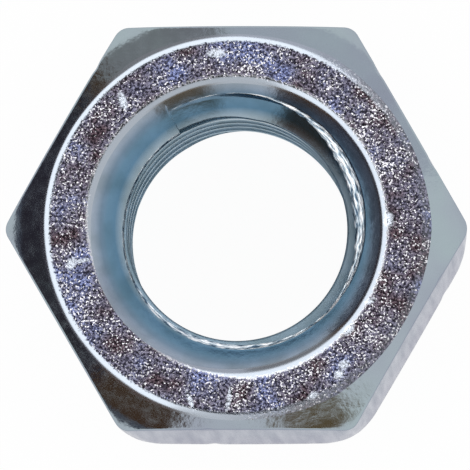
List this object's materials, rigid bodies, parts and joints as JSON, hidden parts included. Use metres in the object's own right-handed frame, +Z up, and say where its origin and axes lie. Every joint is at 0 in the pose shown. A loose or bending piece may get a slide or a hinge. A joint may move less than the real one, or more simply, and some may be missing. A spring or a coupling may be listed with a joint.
{
  "type": "hex nut",
  "caption": "Hexagon nut with a coarse right-hand thread right through it, a countersink at each end of the bore, and a flat bearing ring and a chamfer on each face.",
  "frame": {"origin": "middle of the lower bearing face, on the thread's axis", "axes": "+Z up along the thread's axis, +X through a corner, +Y square to a flat"},
  "size_m": [0.0164, 0.0142, 0.0083],
  "materials": {
    "zinc_plated_steel": "bright clear-passivated zinc plating over cold-formed steel, satin"
  },
  "bodies": {
    "root": {"hex_nut": "zinc_plated_steel"}
  },
  "joints": []
}
